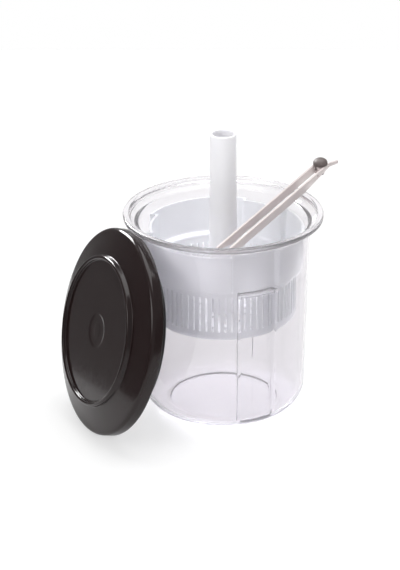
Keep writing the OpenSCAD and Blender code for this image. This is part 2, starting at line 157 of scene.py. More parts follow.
class KeeperTongsSizes(bpy.types.PropertyGroup):
    """Sizes and place of the tongs."""

    length: size("Length", "Length of the tongs", 153)
    arm_w: size("Arm width", "Width of an arm", 6.4)
    arm_t: size("Arm thickness", "Thickness of an arm", 1.6)
    arm_y: size("Arm offset", "Distance of an arm from the middle", 4.2)
    tip_len: size("Tip length", "Length of the pointed end", 18)
    tip_h: size("Tip height", "Height of the blunt tip", 2)
    tail_len: size("Tail length", "Distance of the pin from the tail's end", 12)
    tail_h: size("Tail height", "Height of the tail's end", 2.2)
    taper_len: size("Taper length", "Length over which the right arm narrows to its tail", 44)
    flick_len: size("Flick length", "Length of the tail's outturned end", 7)
    flick: turn("Flick", "How far the tail's end is turned out", 29)
    eye_r: size("Eye radius", "Radius of the round eyes", 3.1)
    eye_h: size("Eye height", "Height of each round eye", 2.5)
    eye_z: size("Upper eye", "Height of the upper eye's underside", 2.9)
    pin_r: size("Pin radius", "Radius of the pin", 1.6)
    head_r: size("Cap radius", "Radius of the domed cap", 5.2)
    cap_z: size("Cap underside", "Height of the cap's underside", 6.65)
    cap_h: size("Cap height", "Height of the domed cap", 4.8)
    hole_r: size("Hole radius", "Radius of the small hole", 1.2)
    hole_x: size("Hole place", "Distance of the small hole from the end", 25)
    teeth: IntProperty(name="Teeth", description="Number of grip teeth", default=8, min=1, max=12)
    tip: FloatVectorProperty(name="Place", description="Middle of the tips",
                             default=(-0.501 * MM, -57.425 * MM, 132.9 * MM), size=3, subtype="XYZ_LENGTH")
    tilt: turn("Tilt", "Rise from the tips to the head", 5.6132)
    heading: turn("Heading", "Heading across the mouth, from the right to the back", 60)


class KeeperFinishes(bpy.types.PropertyGroup):
    """Colours of the plastics and of the stage."""

    clear: colour("Clear plastic", "Tint of the canister", (0.86, 0.845, 0.865))
    frosted: colour("Frosted plastic", "Colour of the strainer", (0.84, 0.845, 0.86))
    milky: colour("Milky plastic", "Colour of the lift tube", (0.95, 0.94, 0.99))
    dark: colour("Dark plastic", "Colour of the lid", (0.012, 0.006, 0.006))
    seal: colour("Seal", "Colour of the seal", (0.006, 0.005, 0.005))
    grey: colour("Grey plastic", "Colour of the tongs", (0.69, 0.62, 0.61))
    cap: colour("Cap plastic", "Colour of the pin's cap", (0.125, 0.1, 0.096))
    floor: colour("Floor", "Colour of the floor", (0.98, 0.98, 0.98))


# ---------------------------------------------------------------- surfaces

def arc(centre_r, centre_z, radius, start, end, steps):
    """Points (r, z) of an arc: centre plus radius times cosine and sine, from start to end in degrees."""
    a = np.radians(np.linspace(start, end, steps + 1))
    return np.stack([centre_r + radius * np.cos(a), centre_z + radius * np.sin(a)], axis=1)


def line(start, end, steps):
    """Points of a straight line from start to end, with both ends."""
    t = np.linspace(0, 1, steps + 1)[:, None]
    return np.asarray(start) * (1 - t) + np.asarray(end) * t


def near(r, z, *offsets):
    """Points (r, z) near one point, each set off from it by (r, z) millimetres."""
    return np.array([r, z]) + np.array(offsets) * MM


def around(r, z, angle):
    """Points (rows, cols, 3) at radius r, angle and height z: r times cosine, r times sine, and z."""
    return np.stack([r * np.cos(angle), r * np.sin(angle), np.broadcast_to(z, r.shape)], axis=-1)


def grid_quads(rows, cols, closed=False):
    """Corner numbers of the quads of a grid, numbered row by row, whose rows close and whose columns may."""
    r, c = np.meshgrid(np.arange(rows if closed else rows - 1), np.arange(cols), indexing="ij")
    r1, c1 = (r + 1) % rows, (c + 1) % cols
    return np.stack([r * cols + c, r * cols + c1, r1 * cols + c1, r1 * cols + c], axis=-1).reshape(-1, 4)


def turned(profile, steps, closed=False):
    """A profile (r, z) carried round the z axis: each of its points makes one circle."""
    angle = np.linspace(0, 2 * PI, steps, endpoint=False)[None, :]
    r, z = np.asarray(profile).T[:, :, None]
    return around(r + 0 * angle, z, angle).reshape(-1, 3), grid_quads(len(r), steps, closed)


def pierced_wall(outer, inner, solid):
    """A wall between two grids of points that close round the axis.

    Both grids get a quad in each solid cell. Each grid line with a solid cell on one side and an open one,
    or the end of the grid, on the other gets a quad that joins the two grids.
    """
    rows, cols = outer.shape[:2]
    cells = grid_quads(rows, cols).reshape(rows - 1, cols, 4)[solid]
    shift = rows * cols
    point = np.arange(shift).reshape(rows, cols)
    r, c = np.nonzero(solid != np.roll(solid, 1, axis=1))
    upright = np.stack([point[r, c], point[r + 1, c], point[r + 1, c] + shift, point[r, c] + shift], axis=1)
    ends = np.zeros((1, cols), bool)
    r, c = np.nonzero(np.vstack([ends, solid]) != np.vstack([solid, ends]))
    c1 = (c + 1) % cols
    level = np.stack([point[r, c], point[r, c1], point[r, c1] + shift, point[r, c] + shift], axis=1)
    points = np.concatenate([outer.reshape(-1, 3), inner.reshape(-1, 3)])
    return points, np.concatenate([cells, cells + shift, upright, level])


def fluted(r, depth, half, soft, counts):
    """Angle and radius (rows, cols) of a ring with a channel of some depth in each sector.

    From the middle of a gap to the middle of a channel the section runs along the wall, round a quarter arc,
    down the side at the half angle, round a second quarter arc and along the face. r, depth, half and soft
    hold one value for each row, and counts the points along wall, bend, side and face. The other half of a
    sector is its mirror image.
    """
    r, depth, half, soft = (np.broadcast_to(np.asarray(v, float), np.shape(r))[:, None]
                            for v in (r, depth, half, soft))
    soft = np.minimum(soft, depth / 2)
    foot = r - depth
    t_wall, t_bend, t_side, t_face = (np.linspace(0, 1, n, endpoint=False)[None, :] for n in counts)
    quarter = t_bend * PI / 2
    top_edge, foot_edge = half + soft / r, half - soft / foot
    angle = np.concatenate([
        SECTOR / 2 + (top_edge - SECTOR / 2) * t_wall,
        half + soft / r * (1 - np.sin(quarter)),
        half + 0 * t_side,
        half - soft / foot * (1 - np.cos(quarter)),
        foot_edge * (1 - t_face),
    ], axis=1)
    radius = np.concatenate([
        r + 0 * t_wall,
        r - soft * (1 - np.cos(quarter)),
        r - soft - (depth - 2 * soft) * t_side,
        foot + soft * (1 - np.sin(quarter)),
        foot + 0 * t_face,
    ], axis=1)
    # the channel's middle and the mirror image, and then all sectors
    angle = np.concatenate([-angle, 0 * foot, angle[:, :0:-1]], axis=1)
    radius = np.concatenate([radius, foot, radius[:, :0:-1]], axis=1)
    return (np.concatenate([angle + SECTOR * number for number in range(COLUMNS)], axis=1),
            np.tile(radius, COLUMNS))


def swept(path, across, sections):
    """A closed bar: each section point (u, v) lies u along the across vector and v up from the path."""
    points = path[:, None] + sections[..., :1] * across[:, None] + sections[..., 1:] * np.array([0, 0, 1])
    rows, cols = points.shape[:2]
    number = np.arange(rows * cols).tolist()
    ends = [number[:cols][::-1], number[-cols:]]
    return points.reshape(-1, 3), grid_quads(rows, cols).tolist() + ends


def softened_bar(width, bottom, top, soft):
    """Sections (rows, points, 2) of a bar with quarter arcs for corners, its sizes given for each row."""
    width, bottom, top = (np.asarray(v)[:, None] for v in (width, bottom, top))
    a = np.linspace(0, PI / 2, 4)[None, :]
    half = width / 2
    u, v = [], []
    for side_u, side_v, start in ((1, 1, 0), (-1, 1, PI / 2), (-1, -1, PI), (1, -1, 3 * PI / 2)):
        corner_v = top - soft if side_v > 0 else bottom + soft
        u.append(side_u * (half - soft) + soft * np.cos(a + start) + 0 * bottom)
        v.append(corner_v + soft * np.sin(a + start))
    return np.stack([np.concatenate(u, axis=1), np.concatenate(v, axis=1)], axis=-1)


def listed(faces):
    """Faces as plain lists of corner numbers."""
    return faces if isinstance(faces, list) else faces.tolist()


def joined(*shapes):
    """Several shapes (points, faces) as one, with the later faces renumbered."""
    faces, start = [], 0
    for part, part_faces in shapes:
        faces += [[corner + start for corner in face] for face in listed(part_faces)]
        start += len(part)
    return np.concatenate([part for part, _ in shapes]), faces


def placed(shape, rise, heading, place):
    """A shape (points, faces) turned about Y by a rise, about Z to a heading, and moved to its place."""
    x, y, z = shape[0].T
    x, z = x * math.cos(rise) + z * math.sin(rise), z * math.cos(rise) - x * math.sin(rise)
    x, y = x * math.cos(heading) - y * math.sin(heading), x * math.sin(heading) + y * math.cos(heading)
    return np.stack([x, y, z], axis=1) + np.array(place[:]), shape[1]


def closed_mesh(name, points, faces, sharp=None):
    """A mesh with doubles merged and faces outwards, smooth but for edges over sharp degrees."""
    mesh = bpy.data.meshes.new(name)
    mesh.from_pydata(points.tolist(), [], listed(faces))
    shape = bmesh.new()
    shape.from_mesh(mesh)
    bmesh.ops.remove_doubles(shape, verts=shape.verts, dist=SMALLEST)
    bmesh.ops.dissolve_degenerate(shape, edges=shape.edges, dist=SMALLEST)
    bmesh.ops.recalc_face_normals(shape, faces=shape.faces)
    for face in shape.faces:
        face.smooth = True
    if sharp is not None:
        for edge in shape.edges:
            if len(edge.link_faces) == 2 and edge.calc_face_angle() > math.radians(sharp):
                edge.smooth = False
    shape.to_mesh(mesh)
    shape.free()
    return mesh


def added(name, data):
    """A new object of the scene, with its mesh, lamp or camera."""
    piece = bpy.data.objects.new(name, data)
    bpy.context.scene.collection.objects.link(piece)
    return piece


def drilled(shape, cutter):
    """A closed shape (points, faces) with another one cut out of it."""
    whole, drill = (added("shape", closed_mesh("shape", *form)) for form in (shape, cutter))
    cut = whole.modifiers.new("cut", "BOOLEAN")
    cut.operation, cut.solver, cut.object = "DIFFERENCE", "EXACT", drill
    result = bpy.data.meshes.new_from_object(whole.evaluated_get(bpy.context.evaluated_depsgraph_get()))
    points = np.empty(3 * len(result.vertices))
    result.vertices.foreach_get("co", points)
    faces = [list(face.vertices) for face in result.polygons]
    for mesh in (whole.data, drill.data, result):
        bpy.data.meshes.remove(mesh)
    return points.reshape(-1, 3), faces


def put(name, shape, finish, nodes, body, sharp=None):
    """One finished object of a shape (points, faces), on its body and in place of its nodes."""
    mesh = closed_mesh(name, *shape, sharp)
    mesh.materials.append(finish)
    piece = added(name, mesh)
    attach(piece, body)
    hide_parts(*nodes)


# ---------------------------------------------------------------- finishes

def new_finish(name):
    """An empty node material with its Principled shader."""
    finish = bpy.data.materials.new(name)
    finish.use_nodes = True
    tree = finish.node_tree
    return finish, tree, tree.nodes["Principled BSDF"]


def set_sockets(shader, **values):
    """Sets the shader's own sockets: an underscore in a name stands for a space."""
    for name, value in values.items():
        shader.inputs[name.replace("_", " ")].default_value = value


def speckle(tree, scale, detail=2.0, stretch=(1, 1, 1)):
    """Noise in object coordinates, scale to the metre, drawn out along the axes by stretch."""
    mapping = tree.nodes.new("ShaderNodeMapping")
    mapping.inputs["Scale"].default_value = stretch
    tree.links.new(tree.nodes.new("ShaderNodeTexCoord").outputs["Object"], mapping.inputs["Vector"])
    noise = tree.nodes.new("ShaderNodeTexNoise")
    noise.inputs["Scale"].default_value = scale
    noise.inputs["Detail"].default_value = detail
    tree.links.new(mapping.outputs["Vector"], noise.inputs["Vector"])
    return noise.outputs["Fac"]


def spread(tree, value, low, high, dark=0.35, light=0.65):
    """A value stretched to run from low, where it is dark, to high, where it is light."""
    ranged = tree.nodes.new("ShaderNodeMapRange")
    for name, number in (("From Min", dark), ("From Max", light), ("To Min", low), ("To Max", high)):
        ranged.inputs[name].default_value = number
    tree.links.new(value, ranged.inputs["Value"])
    return ranged.outputs["Result"]


def tinted(tree, value, first, second):
    """A colour that runs from first to second with a value."""
    ramp = tree.nodes.new("ShaderNodeValToRGB")
    ramp.color_ramp.elements[0].color = (*first, 1)
    ramp.color_ramp.elements[1].color = (*second, 1)
    tree.links.new(value, ramp.inputs["Fac"])
    return ramp.outputs["Color"]


def scaled(rgb, factor):
    """A colour made lighter or darker, kept under 1."""
    return tuple(min(1.0, c * factor) for c in rgb)


def bumped(tree, shader, value, height):
    """Lifts the surface by half a value times a height in metres."""
    bump = tree.nodes.new("ShaderNodeBump")
    bump.inputs["Distance"].default_value = height
    bump.inputs["Strength"].default_value = 0.5
    tree.links.new(value, bump.inputs["Height"])
    tree.links.new(bump.outputs["Normal"], shader.inputs["Normal"])


def mixed_in(tree, shader, other, share):
    """Mixes another shader into the surface by a share that runs from 0 to 1."""
    mix = tree.nodes.new("ShaderNodeMixShader")
    for socket, source in enumerate((share, shader.outputs[0], other.outputs[0])):
        tree.links.new(source, mix.inputs[socket])
    tree.links.new(mix.outputs[0], tree.nodes["Material Output"].inputs["Surface"])


def lamp_light_passes(tree, shader, tint):
    """Lets lamp light through a clear surface: for shadow rays it is only a tint."""
    passing = tree.nodes.new("ShaderNodeBsdfTransparent")
    passing.inputs["Color"].default_value = (*tint, 1)
    mixed_in(tree, shader, passing, tree.nodes.new("ShaderNodeLightPath").outputs["Is Shadow Ray"])


def clear_finish(colours):
    """Clear moulded plastic: glass-like, with a trace of haze and a faint flow of the melt in its gloss."""
    finish, tree, shader = new_finish("clear plastic")
    set_sockets(shader, Base_Color=(*colours.clear, 1), Transmission_Weight=0.93, IOR=1.37)
    flow = speckle(tree, 40, stretch=(1, 1, 0.3))
    tree.links.new(spread(tree, flow, 0.0, 0.03), shader.inputs["Roughness"])
    lamp_light_passes(tree, shader, (0.9, 0.9, 0.93))
    return finish


def moulded(name, rgb, vary, cloud, grain, rough, relief, height, **sockets):
    """Plastic whose colour, gloss and surface vary a little.

    The colour varies by a share with the noise cloud, the roughness between two values with the noise grain,
    and the surface by a height in metres with the noise relief, each noise given as scale and detail.
    """
    finish, tree, shader = new_finish(name)
    tint = tinted(tree, speckle(tree, *cloud), scaled(rgb, 1 - vary), scaled(rgb, 1 + vary))
    tree.links.new(tint, shader.inputs["Base Color"])
    tree.links.new(spread(tree, speckle(tree, *grain), *rough), shader.inputs["Roughness"])
    bumped(tree, shader, speckle(tree, *relief), height)
    set_sockets(shader, **sockets)
    return finish, tree, shader


def frosted_finish(colours):
    """Frosted plastic: light passes, but scattered by a fine matt skin."""
    grain = (900, 3)
    finish, tree, shader = moulded("frosted plastic", colours.frosted, 0.04, (30, 2), grain, (0.38, 0.52),
                                   grain, 0.04 * MM, Transmission_Weight=0.62, IOR=1.45)
    lamp_light_passes(tree, shader, (0.72, 0.72, 0.73))
    return finish


def milky_finish(colours):
    """Milky plastic: a soft body that light enters a little way, under a satin skin."""
    return moulded("milky plastic", colours.milky, 0.03, (45, 2), (600, 2), (0.28, 0.4), (500, 2),
                   0.03 * MM, Subsurface_Weight=0.35, Subsurface_Scale=4 * MM,
                   Subsurface_Radius=(1.0, 1.0, 1.1))[0]


def gloss_finish(name, rgb, rough, scale, height, coat=0.0, mirror=0.5):
    """Moulded plastic that no light enters, with a fine uneven gloss."""
    return moulded(name, rgb, 0.12, (25, 2), (scale, 2), rough, (scale, 4), height,
                   Coat_Weight=coat, Coat_Roughness=0.08, Specular_IOR_Level=mirror)[0]


def straight_or_clear(tree):
    """One for rays from the camera or out of clear plastic, zero for all others."""
    path = tree.nodes.new("ShaderNodeLightPath")
    either = tree.nodes.new("ShaderNodeMath")
    either.operation = "MAXIMUM"
    tree.links.new(path.outputs["Is Camera Ray"], either.inputs[0])
    tree.links.new(path.outputs["Is Transmission Ray"], either.inputs[1])
    return either.outputs[0]


def floor_finish(colours):
    """Pale floor, lit; for the camera and through clear plastic a little over half is its own even white."""
    finish, tree, shader = new_finish("floor")
    set_sockets(shader, Base_Color=(*colours.floor, 1), Roughness=0.9, Specular_IOR_Level=0.0)
    white = tree.nodes.new("ShaderNodeEmission")
    white.inputs["Color"].default_value = (1, 1, 1, 1)
    mixed_in(tree, shader, white, spread(tree, straight_or_clear(tree), 0.0, 0.55, 0.0, 1.0))
    return finish


# ---------------------------------------------------------------- operators

class KEEPER_OT_canister(bpy.types.Operator):
    """Build the clear canister with its three columns"""

    bl_idname = "keeper.canister"
    bl_label = "Canister"

    def execute(self, context):
        s = context.scene.keeper_canister
        wall_top = s.ledge_z - 1 * MM
        soft = s.column_soft

        def outside(z):
            """Outer radius of the leaning wall at a height."""
            return s.wall_r - (wall_top - z) * math.tan(s.draft)

        def bore(z):
            """Inner radius of the leaning wall at a height."""
            return outside(z) - s.wall_t / math.cos(s.draft)

        def column_rows(top, surface, face):
            """Rows (r, z, depth) over a column's top: up the face, round, and out along the ledge."""
            full = surface(top) - face
            hollow = arc(full - soft, top - soft, soft, 0, 90, 4)
            flat = line((full - soft, top), (soft, top), 4)[1:-1]
            over = arc(soft, top + soft, soft, 270, 180, 4)
            depth, z = np.concatenate([hollow, flat, over]).T
            return np.stack([surface(z), z, depth], axis=1)

        def side(surface, face, top, corner_r, corner_z, base):
            """Rows (r, z, depth) of one skin from the base to just under the mouth."""
            corner_x = surface(corner_z - corner_r * math.sin(s.draft)) - corner_r * math.cos(s.draft)
            low = arc(corner_x, corner_z, corner_r, -90, -math.degrees(s.draft), 20)
            z = np.linspace(low[-1, 1] + 4 * MM, top - soft - 2 * MM, 9)
            below = np.concatenate([base, low, np.stack([surface(z), z], axis=1)])
            below = np.column_stack([below, np.maximum(below[:, 0] - face, 0)])
            z = np.linspace(top + soft + 1.5 * MM, wall_top - 2.5 * MM, 5)
            above = np.stack([surface(z), z, 0 * z], axis=1)
            return np.concatenate([below, column_rows(top, surface, face), above])

        # the base: radii out to the foot ring, and shares of the dish's rise
        middle_r = np.array([0, 0.3, 0.8]) * s.foot_r
        base = np.column_stack([np.concatenate([middle_r, s.foot_r - np.array([1.8, 1.1, 0.6, 0]) * MM]),
                                np.array([1, 1, 1, 1, 0.75, 0.3, 0]) * s.dish])
        outer = side(outside, s.column_r, s.column_z - s.wall_t, s.corner_r, s.corner_r, base)
        inner_r = s.corner_r - s.wall_t
        floor = np.column_stack([np.array([0, 0.3, 0.9]) * s.foot_r, np.full(3, s.floor_t)])
        inner = side(bore, s.column_r - s.wall_t, s.column_z, inner_r, s.floor_t + inner_r, floor)

        # the mouth, outside then inside: flare (a quadratic curve), rounded rim, lead-in, slope and ledge
        rim_r, rim_z, edge = s.rim_r, s.rim_z, s.rim_soft
        under = rim_z - s.rim_t
        t = np.linspace(0, 1, 9)[:, None]
        flare = (near(s.wall_r, wall_top, (0, -1.2)) * (1 - t) ** 2
                 + near(s.wall_r, under, (0.6, -1.3)) * 2 * t * (1 - t)
                 + near(s.wall_r, under, (5.2, 0)) * t ** 2)
        lip = np.concatenate([arc(rim_r - edge, under + edge, edge, -90, 0, 6),
                              arc(rim_r - edge, rim_z - edge, edge, 0, 90, 6)])
        mouth = np.concatenate([flare, lip, arc(s.mouth_r + edge, rim_z - edge, edge, 90, 170, 6),
                                line((s.mouth_r - 0.3 * MM, rim_z - 2 * MM),
                                     (s.wall_r + 0.5 * MM, s.ledge_z + 0.3 * MM), 5),
                                [[s.wall_r, s.ledge_z]],
                                near(bore(s.ledge_z), s.ledge_z, (1, 0), (0.4, -0.15), (0.05, -0.8))])
        rows = np.concatenate([outer, np.column_stack([mouth, 0 * mouth[:, 0]]), inner[::-1]])
        r, z, depth = rows.T
        inside = np.arange(len(rows)) >= len(outer) + len(mouth)
        half = s.column_half + np.where(inside, s.wall_t, 0) / np.maximum(r, 20 * MM)
        # a radius just over zero keeps the angles of rows on the axis finite
        angle, radius = fluted(np.maximum(r, SMALLEST / 10), depth, half, soft, (24, 6, 3, 10))
        points = around(radius, z[:, None], angle + s.column_turn - PI / 2)
        shape = points.reshape(-1, 3), grid_quads(*radius.shape)
        finish = clear_finish(context.scene.keeper_finishes)
        put("canister_body", shape, finish, ["canister"], "canister")
        return {"FINISHED"}


class KEEPER_OT_strainer(bpy.types.Operator):
    """Build the frosted strainer with its channels, slots, floor and spigot"""

    bl_idname = "keeper.strainer"
    bl_label = "Strainer basket"

    def execute(self, context):
        s = context.scene.keeper_strainer
        turn_to = context.scene.keeper_canister.column_turn - PI / 2
        wall, floor_top = s.wall_t, s.foot_z + s.floor_t
        soft, shelf = 0.5 * MM, s.shoulder_z + wall
        bend_out, bend_in = 1 * MM, 1.4 * MM     # radii of the shoulder's bend outside and inside

        # upper wall: the two skins, row by row from the top edge down to the shoulder
        z = np.linspace(s.top_z - 2 * MM, s.shoulder_z + 3 * MM, 8)
        wall_r = s.shoulder_r + (z - s.shoulder_z) * (s.top_r - s.shoulder_r) / (s.top_z - s.shoulder_z)
        outer = np.concatenate([arc(s.top_r - soft, s.top_z - soft, soft, 90, 0, 3),
                                np.stack([wall_r, z], axis=1),
                                arc(s.shoulder_r - bend_out, s.shoulder_z + bend_out, bend_out, 0, -90, 4),
                                line((s.shoulder_r - 1.6 * MM, s.shoulder_z),
                                     (s.channel_r + 0.3 * MM, s.shoulder_z), 3)])
        inner = np.concatenate([arc(s.top_r - wall + soft, s.top_z - soft, soft, 90, 180, 3),
                                np.stack([wall_r - wall, z + 0.6 * MM], axis=1),
                                arc(s.shoulder_r - wall - bend_in, shelf + bend_in, bend_in, 0, -90, 4),
                                line((s.shoulder_r - wall - 1.9 * MM, shelf),
                                     (s.channel_r - wall + 0.3 * MM, shelf), 3)])

        # lower band, corner, floor and spigot: both skins, row by row
        slot_top, slot_foot = s.shoulder_z - s.slot_margin, floor_top + s.slot_margin
        r_out, r_in = s.band_r, s.band_r - wall
        ends = np.array([0, 0.12, 0.4, 0.8]) * MM
        band_z = np.concatenate([np.linspace(s.shoulder_z - 0.5 * MM, slot_top, 5), slot_top - ends[1:],
                                 np.linspace(slot_top - 6 * MM, slot_foot + 6 * MM, 4),
                                 slot_foot + ends[::-1]])
        z_out = np.concatenate([band_z, [slot_foot - 1 * MM, s.foot_z + s.corner_r + 0.3 * MM]])
        z_in = z_out.copy()
        z_in[:5] += np.linspace(wall - 0.4 * MM, 0, 5)
        corner_in = s.corner_r - wall
        inner_r, outer_r = s.tube_foot_r + 4 * MM, r_out - s.corner_r - 2 * MM
        middle, bar = (inner_r + outer_r) / 2, 2 * MM
        floor_r = np.array([outer_r, middle + bar, middle - bar, inner_r, s.spigot_r + 1.2 * MM])
        rise = floor_top + s.spigot_h
        lower_out = np.concatenate([
            np.stack([np.full(len(z_out), r_out), z_out], axis=1),
            arc(r_out - s.corner_r, s.foot_z + s.corner_r, s.corner_r, 0, -90, 6),
            np.stack([floor_r, np.full(5, s.foot_z)], axis=1),
            near(s.spigot_r, s.foot_z, (-1.5, 0), (-2, 0.5)),
            near(s.spigot_r, rise, (-2, -5), (-2, -4), (-2, -3), (-2, -0.4), (-1.6, 0))])
        lower_in = np.concatenate([
            np.stack([np.full(len(z_in), r_in), z_in], axis=1),
            arc(r_in - corner_in, floor_top + corner_in, corner_in, 0, -90, 6),
            np.stack([floor_r, np.full(5, floor_top)], axis=1),
            near(s.spigot_r, floor_top, (0.4, 0.1), (0, 0.5)),
            near(s.spigot_r, rise, (0, -5), (0.3, -4.4), (0, -3.6), (0, -0.4), (-0.4, 0))])

        # angles of the slot edges, narrower at the slots' round ends: a period holds three slots of the
        # band, each with four grid lines, or one slot of the floor in its middle
        periods, slots, lines = 8, 3, 4
        period = SECTOR / periods
        rows = len(lower_out)
        round_end = (0.3, 0.45, 0.85)
        share_open = np.ones(rows)
        share_open[:4] = round_end[0]
        share_open[4:7] = round_end
        share_open[len(band_z) - 3:len(band_z)] = round_end[::-1]
        half_slot = s.slot_w / 2 / r_out * share_open[:, None, None]
        slot = np.arange(slots)[:, None]
        edges = (slot + 0.5) * period / slots + half_slot * np.array([0, -1, 0, 1])
        edges[..., 0] = slot[:, 0] * period / slots
        band = edges.reshape(rows, lines * slots)
        to_floor = np.clip((np.arange(rows) - len(z_out)) / 6, 0, 1)[:, None]
        start = np.arange(periods * COLUMNS)[:, None] * period
        t, ease = np.arange(lines) / lines, np.linspace(0, 1, 5)[:, None]

        skins = []
        for upper, lower, thick in ((outer, lower_out, 0.0), (inner, lower_in, wall)):
            r = upper[:, 0]
            depth = np.maximum(r - (s.channel_r - thick), 0.02 * MM)
            angle, radius = fluted(r, depth, s.channel_half + thick / r, s.channel_soft, (30, 3, 2, 10))
            half = s.drain_w / 2 / np.maximum(lower[:, :1], 14 * MM)
            side = period / 2 - half
            drain = np.concatenate([side * t, side + 2 * half * t, side + 2 * half + side * t], axis=1)
            edges = band * (1 - to_floor) + drain * to_floor
            below = (edges[:, None, :] + start).reshape(rows, -1) - SECTOR / 2
            below[:5] = angle[-1:] * (1 - ease) + below[4:5] * ease
            radius = np.concatenate([radius, lower[:, :1] + 0 * below])
            z = np.concatenate([upper, lower])[:, 1:]
            skins.append(around(radius, z, np.concatenate([angle, below]) + turn_to))

        # the cells of the slots are open
        number = np.arange(skins[0].shape[1])
        solid = np.ones((len(skins[0]) - 1, len(number)), bool)
        band_row, floor_row = len(outer), len(outer) + len(z_out) + 7
        solid[band_row + 4:band_row + len(band_z) - 1, np.isin(number % lines, (1, 2))] = False
        in_drain = number // lines % slots == 1
        solid[floor_row, in_drain] = False
        solid[floor_row + 2, in_drain & (number // (lines * slots) % 2 == 0)] = False
        finish = frosted_finish(context.scene.keeper_finishes)
        put("strainer_shell", pierced_wall(*skins, solid), finish, ["strainer_basket"], "strainer",
            sharp=50)
        return {"FINISHED"}


class KEEPER_OT_lift_tube(bpy.types.Operator):
    """Build the milky lift tube with its bevelled mouth"""

    bl_idname = "keeper.lift_tube"
    bl_label = "Lift tube"

    def execute(self, context):
        s = context.scene.keeper_strainer
        foot, top, wall = s.tube_foot_z, s.tube_top_z, s.tube_t
        bore = s.tube_foot_r - wall
        socket = foot + 14.3 * MM
        soft_out, soft_in = 0.6 * MM, 0.5 * MM
        profile = np.concatenate([
            near(bore, foot, (0.4, 0)),
            near(s.tube_foot_r, foot, (-0.4, 0), (-0.1, 0.1)),
            line((s.tube_foot_r, foot + 0.5 * MM), (s.tube_top_r, top - 1 * MM), 12),
            arc(s.tube_top_r - soft_out, top - soft_out, soft_out, 20, 90, 4),
            arc(s.tube_top_r - wall + soft_in, top - soft_in, soft_in, 90, 180, 4),
            line((s.tube_top_r - wall, top - 1.2 * MM), (bore - 0.15 * MM, socket + 0.4 * MM), 8),
            [[bore, socket]],
            near(bore, foot, (0, 0.4), (0.1, 0.1)),
        ])
        finish = milky_finish(context.scene.keeper_finishes)
        put("lift_tube_body", turned(profile, 96, closed=True), finish, ["lift_tube"], "strainer_tube",
            sharp=60)
        return {"FINISHED"}


